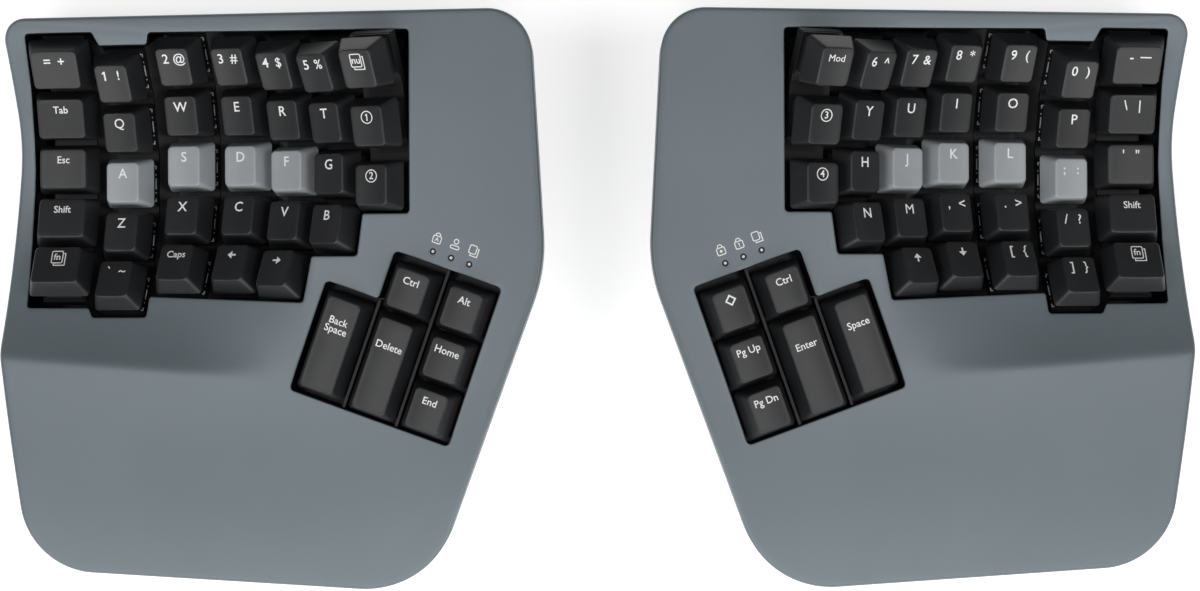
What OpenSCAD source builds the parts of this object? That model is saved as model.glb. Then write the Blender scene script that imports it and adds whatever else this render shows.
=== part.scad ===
// Ergonomic split keyboard: two mirrored halves, each with a sculpted case, a concave key well
// and a turned thumb cluster. Millimetres, Z up, Y towards the back, the desk at Z = 0.
// The right half is drawn and the left half is its mirror image.
// Key rows run from -2 at the front to 2 at the back, with the home row at 0.
// Key columns run from 0, nearest to the centre line, to 6 at the outer side.

/* [Halves] */
// Centre line to the inner edge of each half
half_offset = 19.2; // [10:0.1:80]

/* [Keycaps] */
// Pitch that wider keys grow by, for each unit
key_unit = 19.05; // [18.5:0.05:19.5]
// Side of a one-unit keycap at its skirt
key_base = 17.7; // [17:0.1:17.9]
// Width of a one-unit keycap's top face
key_top_w = 12.2; // [11:0.1:14]
// Depth of a one-unit keycap's top face
key_top_d = 14.2; // [12:0.1:15]
// Height of a keycap from its skirt to its top
cap_h = 8; // [7.6:0.1:8.6]
// Wall of a keycap
cap_wall = 1.4; // [1:0.1:1.6]
// Radius of the hollow across a keycap's top
dish_r = 30; // [24:1:60]
// Depth of that hollow
dish_depth = 0.6; // [0.3:0.1:0.8]
// How far a key goes down
key_travel = 4; // [3:0.1:4]

/* [Key well] */
// Turn from one key row to the next
row_angle = 13; // [11.5:0.1:13.2]
// Radius of the key tops along a column
row_radius = 79; // [78:0.5:88]
// The same for the straighter column nearest to the centre
inner_radius = 90; // [84:0.5:100]
// Inner edge of the case to the nearest column, then from each column to the next one outwards
column_step = [59.6, 16, 16.1, 17.3, 20.7, 22.2, 21.6]; // [15:0.1:62]
// Position of each home key to the back
column_y = [40.5, 45, 46.6, 48.7, 48.9, 43.1, 48.2]; // [38:0.1:50]
// Depth of each home key's top below the deck's inner edge
column_drop = [3.7, 14.1, 23.1, 29.5, 32, 33, 34]; // [1:0.1:36]
// Lean of each column outwards
column_lean = [24, 30, 24, 20, 15, 13, 7]; // [5:0.5:32]
// Thickness of the well's floor
tray_t = 3; // [2.5:0.1:3.2]
// Clearance of the keycaps in the well's opening
well_gap = 0.8; // [0.7:0.1:1.2]

/* [Thumb cluster] */
// Turn of the cluster seen from above
thumb_turn = 19.5; // [15:0.5:24]
// Inner edge of the case to the cluster's first key, along the deck
thumb_u = 33.8; // [32:0.1:37]
// Position of that key to the back
thumb_y = -20.7; // [-24:0.1:-18]
// Pitch of the cluster's columns
thumb_pitch_x = 20; // [19.6:0.1:20.6]
// Pitch of the cluster's rows
thumb_pitch_y = 18.6; // [18.5:0.05:19.2]
// Height of the cluster's key tops over the deck
thumb_raise = 5; // [4:0.1:6]
// Height of the ribs between the cluster's columns
rib_h = 7; // [4:0.5:9]
// Clearance of the keycaps in the cluster's opening
key_gap = 1.1; // [0.9:0.1:1.6]

/* [Case] */
// Height of the deck at the inner edge
deck_height = 64.5; // [62:0.5:70]
// Slope of the deck down to the outer edge
deck_lean = 8.5; // [7:0.1:9]
// Height of the upper shell's side band
band_h = 22; // [18:0.5:24]
// Wall of both shells
wall = 2.4; // [2:0.1:2.6]
// Rim behind the key well
rim_back = 5.7; // [5.5:0.1:12]
// Rim beside the key well, at its widest
rim_outer = 12.2; // [11:0.1:24]
// Palm rest, from the key well to the front edge
palm_depth = 98.4; // [80:0.2:110]
// Radius of the palm rest's crown
palm_r = 330; // [250:10:600]
// How far the lower shell draws in towards the desk
draft = 6; // [3:0.5:7]
// Depth of the scoop beside the home row, at the outer edge
scoop_depth = 12.2; // [9:0.1:13.5]
// Half the length of the scoop's opening at the outer edge
scoop_half = 60; // [50:0.5:62]
// How far the scoop runs inwards until it meets the deck
scoop_run = 112; // [90:1:120]
// How far it keeps its full depth
scoop_full = 25; // [0:1:50]
// Radius of the three indicator lights
light_r = 0.95; // [0.8:0.05:1.4]

/* [Tent leg] */
// Length of the leg from its hinge
leg_l = 48; // [36:1:50]
// Width of the leg
leg_w = 90; // [70:1:92]
// Thickness of the leg
leg_t = 4.6; // [4:0.1:5]
// Radius of the leg's hinge pins
pin_r = 1.6; // [1.2:0.1:1.8]
// Travel of the leg's lock buttons
lock_travel = 4; // [3:0.5:5]

/* [Feet] */
// Height of the rubber feet below the case
foot_h = 2.5; // [2:0.1:4]
// Radius of the rubber feet
foot_r = 6; // [4:0.5:8]

/* [Hidden] */
$fn = 64;
eps = 0.01;
SIDES = ["left", "right"];
COLUMNS = ["inner", "reach", "index", "middle", "ring", "pinky", "outer"];
ROWS = ["bottom", "lower", "home", "upper", "number"];
THUMBS = ["thumb_key_mid", "thumb_key_back", "thumb_key_front",
          "thumb_key_second_back", "thumb_key_second_long", "thumb_key_third_long"];
FIXED = ["top_case", "bottom_case", "key_well", "thumb_tray", "switches", "circuit_board", "battery",
         "light_pipes", "screws", "feet", "tent_leg", "tent_buttons", "power_switch"];
PIECES = concat(FIXED,
                [for (r = [-2, -1, 1, 2]) str(ROWS[r + 2], "_row_keys")],
                [for (c = COLUMNS) str("home_key_", c)],
                THUMBS);

CASE_PAINT = [0.42, 0.46, 0.49];
CASE_DARK = [0.13, 0.14, 0.15];
TRAY_BLACK = [0.06, 0.06, 0.07];
CAP_BLACK = [0.10, 0.10, 0.11];
CAP_GREY = [0.62, 0.63, 0.64];
RUBBER = [0.05, 0.05, 0.05];
STEEL = [0.66, 0.67, 0.68];

// Key switch: square body in the well's floor, flange on it, tapered hood with a slot for the slider
switch_hole = 14;
switch_body = 13.8;
switch_flange = 15.6;
flange_t = 1;
hood_h = 6.6;
hood_base = 13.4;
hood_top_w = 9.8;
hood_top_d = 10.6;
switch_depth = 5;
slot_w = 8;
slot_d = 6.2;
slider_w = 6;
slider_d = 5.7;
slider_h = 4.8;
cross_w = 4;
cross_t = 1.2;
cross_h = 3.8;
post_r = 2.7;
fit = 0.1;

skirt_gap = key_travel + 2.2;
cap_top = skirt_gap + cap_h;
cap_roof = 1.6 + dish_depth;
slider_z = hood_h - 0.2 - slider_h;
cross_top = slider_z + slider_h + cross_h;

floor_z = foot_h;
floor_top = floor_z + wall;
tile_w = 8;
tile_end = 8;

function sum_to(v, n) = n < 0 ? 0 : v[n] + sum_to(v, n - 1);
function unit(v) = v / norm(v);

// Key columns
function units(c) = c == 6 ? 1.25 : 1;
function base_of(n) = key_base + (n - 1) * key_unit;
function first_row(c) = c == 0 ? 0 : c == 1 ? -1 : -2;
function col_x(c) = half_offset + sum_to(column_step, c);
function col_r(c) = c == 0 ? inner_radius : row_radius;
column_height = [for (d = column_drop) deck_height - d];
function seat_r(c) = col_r(c) + cap_top;

// A point on the well's floor, turned with its row and sunk below the floor's face
function tile_point(c, r, x, sunk) =
    let (a = r * row_angle, l = column_lean[c], q = seat_r(c) + sunk, h = col_r(c) - q * cos(a))
    [col_x(c) + x * cos(l) + h * sin(l), column_y[c] + q * sin(a), column_height[c] - x * sin(l) + h * cos(l)];

// A point of a keycap's skirt, seen from above: side and end are -1, 0 or 1
function skirt(c, r, side, end) =
    let (a = r * row_angle, l = column_lean[c], q = col_r(c) + cap_h,
         h = col_r(c) - q * cos(a) + end * key_base / 2 * sin(a))
    [col_x(c) + side * base_of(units(c)) / 2 * cos(l) + h * sin(l),
     column_y[c] + q * sin(a) + end * key_base / 2 * cos(a)];
function side_x(c, r, side, end, gaps) = skirt(c, r, side, end)[0] + side * gaps * well_gap;
function end_y(c, r, end, gaps) = skirt(c, r, 0, end)[1] + end * gaps * well_gap;
// End of a column's floor at its last row, seen from above
function floor_y(c, r) =
    column_y[c] + (seat_r(c) + tray_t) * sin(r * row_angle) + sign(r) * tile_end * cos(r * row_angle);

// Opening over the key well: its front edge outwards, then its outer edge, then its back edge inwards
WELL_FRONT = [
    [side_x(0, 0, -1, 0, 2), end_y(0, 0, -1, 1)],
    [side_x(1, -1, -1, 1, 1), end_y(0, 0, -1, 1)],
    [side_x(1, -1, -1, -1, 1), end_y(1, -1, -1, 1)],
    [side_x(2, -2, -1, 1, 1), end_y(1, -1, -1, 1)],
    [side_x(2, -2, -1, -1, 1), end_y(2, -2, -1, 1)],
    [side_x(5, -2, -1, 0, 2), end_y(4, -2, -1, 1)],
    [side_x(5, -2, -1, -1, 2), end_y(5, -2, -1, 3)],
    [side_x(5, -2, 1, -1, 1), end_y(5, -2, -1, 3)],
    [side_x(5, -2, 1, -1, 3), floor_y(6, -2) - well_gap],
    [side_x(6, -2, 1, -1, 2), floor_y(6, -2) - well_gap]
];
WELL_OUTER = [
    [side_x(6, -2, 1, 1, 2), skirt(6, -2, 0, 1)[1]],
    [side_x(6, 0, 1, 0, 1), skirt(6, 0, 0, 0)[1]],
    [side_x(6, 2, 1, -1, 1), skirt(6, 2, 0, -1)[1]]
];
WELL_BACK = [
    [side_x(6, 2, 1, 1, 1), end_y(6, 2, 1, 2.5)],
    [side_x(6, 2, -1, 1, 2), end_y(6, 2, 1, 2.5)],
    [side_x(6, 2, -1, 1, 5), end_y(5, 2, 1, 3)],
    [side_x(4, 2, 1, 1, 2), end_y(5, 2, 1, 3)],
    [side_x(4, 2, 1, 1, 1), end_y(4, 2, 1, 1)],
    [side_x(0, 0, -1, 0, 2), floor_y(0, 2) + well_gap / 2]
];
WELL = concat(WELL_FRONT, WELL_OUTER, WELL_BACK);

well_back = max([for (p = WELL) p[1]]);
well_front = min([for (p = WELL) p[1]]);
case_back = well_back + rim_back;
case_front = well_front - palm_depth;
case_outer = skirt(6, 0, 1, 0)[0] + rim_outer;
palm_start = well_front - 10;

// Heights of the deck and of the seam between the shells
function deck_z(x) = deck_height - (x - half_offset) * tan(deck_lean);
function seam_z(x) = deck_z(x) - band_h / cos(deck_lean);
function palm_drop(y) = y > palm_start ? 0 : pow(palm_start - y, 2) / (2 * palm_r);
function back_wall(x, z) = case_back - draft * (seam_z(x) - z) / (seam_z(x) - floor_z);

// Case outline: corners with their radii, counter-clockwise seen from above
CORNERS = [
    [half_offset + 4, case_back, 16],
    [half_offset - 1, 11, 60],
    [half_offset + 41, case_front, 34],
    [case_outer - 9, case_front + 7, 27],
    [case_outer, well_front - 12, 30],
    [case_outer - 6.4, column_y[6] + 9, 110],
    [case_outer - 1, case_back, 8]
];
function left_of(d) = [-d[1], d[0]];
function flat(p) = [p[0], p[1]];
function inset_corner(a, b, c, e) =
    let (m = left_of(unit(flat(b) - flat(a))), n = left_of(unit(flat(c) - flat(b))),
         convex = cross(flat(b) - flat(a), flat(c) - flat(b)) > 0,
         p = flat(b) + e * (m + n) / (1 + m * n))
    [p[0], p[1], max(0.5, b[2] + (convex ? -e : e))];
function inset(v, e) =
    let (n = len(v))
    [for (i = [0 : n - 1]) inset_corner(v[(i + n - 1) % n], v[i], v[(i + 1) % n], e)];
function fillet(a, b, c) =
    let (u = unit(flat(a) - flat(b)), w = unit(flat(c) - flat(b)), h = acos(u * w) / 2,
         o = flat(b) + unit(u + w) * b[2] / sin(h),
         s = unit(flat(b) + u * b[2] / tan(h) - o), t = unit(flat(b) + w * b[2] / tan(h) - o),
         k = 180 - 2 * h)
    [for (i = [0 : 8]) o + b[2] * (sin(k * (1 - i / 8)) * s + sin(k * i / 8) * t) / sin(k)];
function rounded(v) =
    let (n = len(v))
    [for (i = [0 : n - 1]) each fillet(v[(i + n - 1) % n], v[i], v[(i + 1) % n])];
function outline(e) = rounded(inset(CORNERS, e));

// Thumb cluster keys, from the first key: outwards, backwards, length in units
THUMB_AT = [
    [0, 0, 1],
    [0, thumb_pitch_y, 1],
    [0, -thumb_pitch_y, 1],
    [thumb_pitch_x, thumb_pitch_y, 1],
    [thumb_pitch_x, -thumb_pitch_y / 2, 2],
    [2 * thumb_pitch_x, -thumb_pitch_y / 2 + 0.8, 2]
];
thumb_half = key_base / 2 + key_gap;
thumb_long = base_of(2) / 2 + key_gap;
function thumb_opening(e) =
    let (x0 = -thumb_half - e, x1 = 1.5 * thumb_pitch_x + e, x2 = 2 * thumb_pitch_x + thumb_half + e,
         y0 = -thumb_pitch_y - thumb_half - e, y1 = THUMB_AT[5][1] + thumb_long + 1 + e,
         y2 = thumb_pitch_y + thumb_half + 1.4 + e)
    [[x0, y0], [x2, y0], [x2, y1], [x1, y1], [x1, y2], [x0, y2]];
light_y = thumb_pitch_y + thumb_half + 5.6;
light_pitch = 6.85;
light_l = 7;

// Scoop: its middle at the outer edge, and how far it shifts forwards and shortens as it runs out
scoop_y = column_y[6] - 8;
scoop_shift = 9;
scoop_close = 1;
scoop_edge = (case_outer - half_offset) / cos(deck_lean);
scoop_over = 30;

// Parts in the lower shell
bay_x0 = half_offset + 30;
hinge_x = bay_x0 + leg_l + 1;
bay_x1 = hinge_x + leg_t / 2 + 0.5;
bay_y = 10;
bay_top = floor_z + leg_t + 0.8;
hinge_z = floor_z + 0.4 + leg_t / 2;
board_x0 = half_offset + 40;
board_w = 56;
board_d = 32;
board_t = 1.6;
board_z = floor_top + 8;
board_y1 = back_wall(board_x0, board_z) - wall - 1.2;
port_x = board_x0 + 16;
port_w = 9;
port_h = 3.2;
port_l = 7.4;
power_x = board_x0 + 38;
power_travel = 3;
BOSSES = [
    [half_offset + 18, case_back - 22],
    [case_outer - 19, well_front - 36],
    [case_outer - 68, case_front + 18],
    [half_offset + 66, case_front + 14]
];
FEET = [
    [half_offset + 16, case_back - 42],
    [case_outer - 24, case_back - 26],
    [case_outer - 22, well_front - 54],
    [half_offset + 56, case_front + 28]
];
// Posts under the key well: column, row, side of the column, and whether the leg's bay lies below
POSTS = [
    [6, 1.5, -1, false],
    [6, -1.5, -1, false],
    [3, 1.5, 1, false],
    [2, -1.5, 1, false],
    [0, 0.5, -1, true]
];

module on_side(side) {
    if (side == "left") mirror([1, 0, 0]) children();
    else children();
}

module at_column(c) {
    translate([col_x(c), column_y[c], column_height[c]])
        rotate([0, column_lean[c], 0])
            translate([0, 0, col_r(c)])
                children();
}

module at_key(c, r) {
    at_column(c)
        rotate([r * row_angle, 0, 0])
            translate([0, 0, -seat_r(c)])
                children();
}

module on_deck() {
    translate([half_offset, 0, deck_height])
        rotate([0, deck_lean, 0])
            children();
}

// Frame of the thumb cluster, at the level of its key tops
module on_thumb() {
    on_deck()
        translate([thumb_u, thumb_y, thumb_raise])
            rotate([0, 0, thumb_turn])
                children();
}

module at_thumb(i) {
    on_thumb()
        translate([THUMB_AT[i][0], THUMB_AT[i][1], -cap_top])
            children();
}

module block(x0, x1, y0, y1, z0, z1) {
    translate([x0, y0, z0]) cube([x1 - x0, y1 - y0, z1 - z0]);
}

module post(p, r, z0, z1) {
    translate([p[0], p[1], z0]) cylinder(r = r, h = z1 - z0);
}

// Bar along Y whose width narrows upwards
module taper(low, high, z0, z1, l) {
    rotate([90, 0, 0])
        linear_extrude(l, center = true)
            polygon([[-low / 2, z0], [low / 2, z0], [high / 2, z1], [-high / 2, z1]]);
}

// Frustum with bevelled corners
module frustum(bw, bd, tw, td, z0, z1, bevel) {
    l = 2 * (bw + bd);
    intersection() {
        taper(bw, tw, z0, z1, l);
        rotate([0, 0, 90]) taper(bd, td, z0, z1, l);
        for (a = [45, -45])
            rotate([0, 0, a])
                taper((bw + bd - 2 * bevel) / sqrt(2), (tw + td - 2 * bevel) / sqrt(2), z0, z1, l);
    }
}

module cross_bar(grow, h) {
    for (a = [0, 90])
        rotate([0, 0, a])
            translate([-cross_w / 2 - grow, -cross_t / 2 - grow, 0])
                cube([cross_w + 2 * grow, cross_t + 2 * grow, h]);
}

// Keycap and the switch's slider, in the frame of its seat
module key(across, along) {
    bw = base_of(across);
    bd = base_of(along);
    tw = bw - key_base + key_top_w;
    td = bd - key_base + key_top_d;
    in_h = cap_h - cap_roof;
    in_z = cap_top - cap_roof;
    difference() {
        union() {
            difference() {
                frustum(bw, bd, tw, td, skirt_gap, cap_top, 1.2);
                difference() {
                    frustum(bw - 2 * cap_wall, bd - 2 * cap_wall,
                            bw - 2 * cap_wall - (bw - tw) * in_h / cap_h,
                            bd - 2 * cap_wall - (bd - td) * in_h / cap_h,
                            skirt_gap, in_z, 1.2);
                    translate([0, 0, cross_top - cross_h + 0.5]) cylinder(r = post_r, h = cap_h);
                }
                translate([0, 0, cap_top + dish_r - dish_depth])
                    rotate([90, 0, 0])
                        cylinder(r = dish_r, h = 2 * bd, center = true, $fn = 128);
            }
            translate([0, 0, cross_top - cross_h + 0.5])
                cylinder(r = post_r, h = in_z - cross_top + cross_h);
        }
        translate([0, 0, cross_top - cross_h]) cross_bar(0.05, cross_h + 0.05);
    }
    translate([-slider_w / 2, -slider_d / 2, slider_z]) cube([slider_w, slider_d, slider_h]);
    translate([0, 0, slider_z + slider_h]) cross_bar(0, cross_h);
}

module key_switch() {
    difference() {
        union() {
            translate([-switch_body / 2, -switch_body / 2, -switch_depth])
                cube([switch_body, switch_body, switch_depth + eps]);
            translate([-switch_flange / 2, -switch_flange / 2, 0])
                cube([switch_flange, switch_flange, flange_t]);
            frustum(hood_base, hood_base, hood_top_w, hood_top_d, flange_t - eps, hood_h, 0.8);
            translate([0, 0, -switch_depth - 3]) cylinder(r = 1.9, h = 3 + eps);
        }
        translate([-slot_w / 2, -slot_d / 2, slider_z - key_travel - 0.8])
            cube([slot_w, slot_d, hood_h + switch_depth]);
    }
}

// Space under the deck, sunk by e, down to a depth below it
module under_deck(e, depth) {
    past = 30;
    front = case_front - past;
    back = case_back + past;
    top = [for (i = [0 : 14]) let (y = palm_start + (front - palm_start) * i / 14) [y, -palm_drop(y) - e]];
    on_deck()
        rotate([90, 0, 90])
            translate([0, 0, -2 * past])
                linear_extrude(case_outer + 4 * past)
                    polygon(concat([[front, -depth - 2 * past], [front, -depth], [back, -depth], [back, -e]],
                                   top));
}

// Cross-section of the scoop beside the home row, at a distance inwards from the outer edge, sunk by e
module scoop_section(inwards, e) {
    r = (pow(scoop_half, 2) + pow(scoop_depth, 2)) / (2 * scoop_depth);
    bend = asin(scoop_half / r);
    y = scoop_y - scoop_shift * inwards / scoop_run;
    arc = [for (i = [0 : 24]) let (a = bend * (i / 12 - 1))
           [y + (r + e) * sin(a), r - scoop_depth - (r + e) * cos(a)]];
    translate([scoop_edge - inwards, 0, 0])
        rotate([90, 0, 90])
            linear_extrude(eps)
                polygon(concat(arc, [[y + scoop_half, scoop_over], [y - scoop_half, scoop_over]]));
}

// Scoop that keeps its depth at first and then runs out on a straight line towards the thumb cluster
module scoop(e) {
    end = scoop_half - scoop_close;
    on_deck() {
        hull() {
            scoop_section(-20, e);
            scoop_section(scoop_full, e);
        }
        hull() {
            scoop_section(scoop_full, e);
            translate([scoop_edge - scoop_run, scoop_y - scoop_shift - end, -e])
                cube([eps, 2 * end, scoop_over]);
        }
    }
}

// Upper shell's outer form, or its inside when sunk by e
module shell_form(e) {
    difference() {
        intersection() {
            linear_extrude(2 * deck_height) polygon(outline(e));
            under_deck(e, e > 0 ? band_h + 10 : band_h);
        }
        scoop(e);
    }
}

module top_case() {
    color(CASE_PAINT)
    difference() {
        union() {
            difference() {
                shell_form(0);
                shell_form(wall);
            }
            intersection() {
                shell_form(0);
                on_thumb()
                    translate([0, 0, -cap_top])
                        linear_extrude(cap_top)
                            polygon(thumb_opening(wall));
            }
            for (p = BOSSES)
                intersection() {
                    post(p, 4, floor_top, 2 * deck_height);
                    under_deck(wall / 2, 2 * deck_height);
                }
        }
        linear_extrude(3 * deck_height) polygon(WELL);
        on_thumb()
            translate([0, 0, -cap_top - 1])
                linear_extrude(60)
                    polygon(thumb_opening(0));
        for (i = [0 : 2])
            on_thumb()
                translate([3.5 + light_pitch * i, light_y, -thumb_raise - 20])
                    cylinder(r = light_r + 0.05, h = 40);
        for (p = BOSSES)
            post(p, 1.6, floor_top - 1, floor_top + 9);
    }
}

// Solid between two rings of points, each closed by a fan about its middle
module loft(low, high) {
    n = len(low);
    mid = [for (ring = [low, high]) [for (k = [0 : 2]) sum_to([for (p = ring) p[k]], n - 1) / n]];
    polyhedron(
        points = concat(low, high, mid),
        faces = [for (i = [0 : n - 1]) let (j = (i + 1) % n)
                 each [[i, n + i, n + j], [i, n + j, j], [2 * n, i, j], [2 * n + 1, n + j, n + i]]]
    );
}

module tub(e) {
    loft([for (p = outline(draft + e)) [p[0], p[1], floor_z + e]],
         [for (p = outline(e)) [p[0], p[1], seam_z(p[0]) + (e > 0 ? 1 : 0)]]);
}

module lock_slot(y) {
    x = bay_x1 + wall + 3;
    block(x, x + 14 + lock_travel + 0.6, y - 4.8, y + 4.8, floor_z - 1, floor_top + 1);
    block(bay_x1 - 1, x, y - 2.4, y + 2.4, floor_top - eps, floor_top + 2.4);
}

module bottom_case() {
    half = leg_w / 2 + 0.5;
    color(CASE_DARK)
    difference() {
        union() {
            difference() {
                tub(0);
                tub(wall);
            }
            block(bay_x0 - wall, bay_x1 + wall, bay_y - half - wall, bay_y + half + wall,
                  floor_z + 1, bay_top + wall);
            for (x = [4, board_w - 4])
                for (y = [4, board_d - 4])
                    post([board_x0 + x, board_y1 - y], 2.5, floor_z + 1, board_z);
        }
        block(bay_x0, bay_x1, bay_y - half, bay_y + half, floor_z - 1, bay_top);
        for (s = [-1, 1])
            translate([hinge_x, bay_y + s * (half + wall / 2), hinge_z])
                rotate([90, 0, 0])
                    cylinder(r = pin_r + 0.06, h = 2 * wall, center = true);
        for (y = [bay_y - 20, bay_y + 20])
            lock_slot(y);
        translate([port_x - port_w / 2 - 0.4, board_y1 - 1, board_z + board_t - 0.3])
            cube([port_w + 0.8, 20, port_h + 0.7]);
        translate([power_x - 2, board_y1 - 1, board_z + board_t - 0.3])
            cube([4 + power_travel, 20, 3.2]);
        for (p = BOSSES) {
            post(p, 1.7, floor_z - 1, floor_top + 1);
            post(p, 3, floor_z - 1, floor_z + 1.4);
        }
        for (p = FEET)
            post(p, foot_r + fit, floor_z - 1, floor_z + 0.6);
    }
}

// A point along one edge of a column, at the step between two rows or at the end of an end row
function edge_point(c, r, x, sunk) =
    let (q = seat_r(c) + sunk, last = r > 2 || r < first_row(c),
         turn = last ? sign(r) * (atan(tile_end / q) / row_angle - 0.5) : 0,
         far = last ? norm([q, tile_end]) : q / cos(row_angle / 2))
    tile_point(c, r + turn, x, far - seat_r(c));

// Bridge from one column of the well's floor to the next
module column_bridge(c) {
    steps = [for (r = [first_row(c) - 0.5 : 2.6]) r];
    n = len(steps);
    function line(col, x, sunk) = [for (r = steps) edge_point(col, r, x, sunk)];
    polyhedron(
        points = concat(line(c, tile_w - 0.6, 0.4), line(c + 1, 0.6 - tile_w, 0.4),
                        line(c + 1, 0.6 - tile_w, tray_t - 0.4), line(c, tile_w - 0.6, tray_t - 0.4)),
        faces = concat(
            [for (k = [0 : 3]) for (i = [0 : n - 2])
             let (a = k * n + i, b = (k + 1) % 4 * n + i)
             each [[a, a + 1, b + 1], [a, b + 1, b]]],
            [[0, n, 2 * n], [0, 2 * n, 3 * n]],
            [[n - 1, 3 * n - 1, 2 * n - 1], [n - 1, 4 * n - 1, 3 * n - 1]])
    );
}

// One column of the well's floor: a flat seat for each key, turned row by row
module seat_strip(c) {
    first = first_row(c);
    function edge(q, r, s) = [q * sin(r * row_angle) + s * cos(r * row_angle),
                              -q * cos(r * row_angle) + s * sin(r * row_angle)];
    function run(q) = concat(
        [edge(q, first, -tile_end)],
        [for (r = [first : 1]) edge(q, r, q * tan(row_angle / 2))],
        [edge(q, 2, tile_end)]);
    under = run(seat_r(c) + tray_t);
    at_column(c)
        rotate([90, 0, 90])
            linear_extrude(2 * tile_w, center = true)
                polygon(concat(run(seat_r(c)), [for (i = [len(under) - 1 : -1 : 0]) under[i]]));
}

module key_well() {
    color(TRAY_BLACK)
    difference() {
        union() {
            for (c = [0 : 6])
                seat_strip(c);
            for (c = [0 : 5])
                column_bridge(c);
            for (p = POSTS) {
                t = tile_point(p[0], p[1], p[2] * tile_w, 2);
                post(t, 2.6, p[3] ? bay_top + wall : floor_top, t[2]);
            }
        }
        for (c = [0 : 6])
            for (r = [first_row(c) : 2])
                at_key(c, r) cube([switch_hole, switch_hole, 6 * tray_t], center = true);
    }
}

module thumb_tray() {
    edge = thumb_opening(0);
    color(TRAY_BLACK)
    difference() {
        on_thumb()
            union() {
                translate([0, 0, -cap_top - 2.6])
                    linear_extrude(2.6)
                        polygon(thumb_opening(wall));
                for (rib = [[0.5, edge[5][1]], [1.5, edge[2][1]]])
                    translate([rib[0] * thumb_pitch_x - 0.5, edge[0][1] + 0.3, -cap_top - eps])
                        cube([1, rib[1] - edge[0][1] - 0.6, rib_h]);
            }
        for (i = [0 : 5])
            at_thumb(i) cube([switch_hole, switch_hole, 12], center = true);
    }
}

module switches() {
    color(CASE_DARK) {
        for (c = [0 : 6])
            for (r = [first_row(c) : 2])
                at_key(c, r) key_switch();
        for (i = [0 : 5])
            at_thumb(i) key_switch();
    }
}

module row_keys(r) {
    color(CAP_BLACK)
    for (c = [0 : 6])
        if (r >= first_row(c))
            at_key(c, r) key(units(c), 1);
}

module home_key(c) {
    color(c > 1 && c < 6 ? CAP_GREY : CAP_BLACK)
    at_key(c, 0) key(units(c), 1);
}

module thumb_key(i) {
    color(CAP_BLACK)
    at_thumb(i) key(1, THUMB_AT[i][2]);
}

// Main board with its cable port, radio can and the power switch's frame
module circuit_board() {
    top = board_z + board_t;
    color([0.05, 0.25, 0.15]) {
        block(board_x0, board_x0 + board_w, board_y1 - board_d, board_y1, board_z, top);
        difference() {
            block(port_x - port_w / 2, port_x + port_w / 2, board_y1 - 5, board_y1 - 5 + port_l,
                  top, top + port_h);
            block(port_x - port_w / 2 + 0.5, port_x + port_w / 2 - 0.5, board_y1 - 3.5, board_y1 + 9,
                  top + 0.5, top + port_h - 0.5);
        }
        block(port_x - 3.2, port_x + 3.2, board_y1 - 3.5, board_y1 + 1.4, top + 1.2, top + 1.9);
        block(power_x - 4, power_x + 4 + power_travel, board_y1 - 9, board_y1 - 4, top, top + 3.4);
        block(board_x0 + 6, board_x0 + 24, board_y1 - 28, board_y1 - 14, top, top + 2);
    }
}

module battery() {
    x = case_outer - 96;
    color([0.70, 0.71, 0.72])
    block(x, x + 58, case_front + 34, case_front + 68, floor_top, floor_top + 6);
}

module light_pipes() {
    color([0.92, 0.93, 0.95])
    for (i = [0 : 2])
        on_thumb()
            translate([3.5 + light_pitch * i, light_y, -thumb_raise - light_l])
                cylinder(r = light_r, h = light_l);
}

module screws() {
    color(STEEL)
    for (p = BOSSES) {
        post(p, 2.75, floor_z + 0.2, floor_z + 1.4);
        post(p, 1.5, floor_z + 1.4 - eps, floor_top + 8);
    }
}

module feet() {
    color(RUBBER)
    for (p = FEET)
        post(p, foot_r, 0, floor_z + 0.6);
}

// Leg that lifts the inner side: a flap with a finger notch and two hinge pins
module tent_leg() {
    z = floor_z + 0.4;
    end = leg_w / 2;
    color(CASE_DARK) {
        difference() {
            union() {
                block(bay_x0 + 0.6, hinge_x, bay_y - end, bay_y + end, z, z + leg_t);
                translate([hinge_x, bay_y, hinge_z])
                    rotate([90, 0, 0])
                        cylinder(r = leg_t / 2, h = leg_w, center = true);
                translate([hinge_x, bay_y, hinge_z])
                    rotate([90, 0, 0])
                        cylinder(r = pin_r, h = leg_w + 2 * wall, center = true);
            }
            post([bay_x0, bay_y], 10, z - 1, z + leg_t + 1);
        }
    }
}

module tent_buttons() {
    x = bay_x1 + wall + 3.3;
    color(CAP_GREY)
    for (y = [bay_y - 20, bay_y + 20]) {
        block(x, x + 14, y - 4.5, y + 4.5, floor_z + 0.3, floor_top + eps);
        block(x - 2.5, x + 16.5, y - 6.5, y + 6.5, floor_top, floor_top + 2);
        block(bay_x1 - 0.2, x, y - 2, y + 2, floor_top, floor_top + 2);
    }
}

module power_switch() {
    top = board_z + board_t;
    out = back_wall(power_x, top) + 1.2;
    color(CAP_GREY)
    union() {
        block(power_x - 3, power_x + 3, board_y1 - 3.4, board_y1 - 1.6, top, top + 3);
        block(power_x - 1.6, power_x + 1.6, board_y1 - 1.7, out, top, top + 2.4);
    }
}

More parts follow.
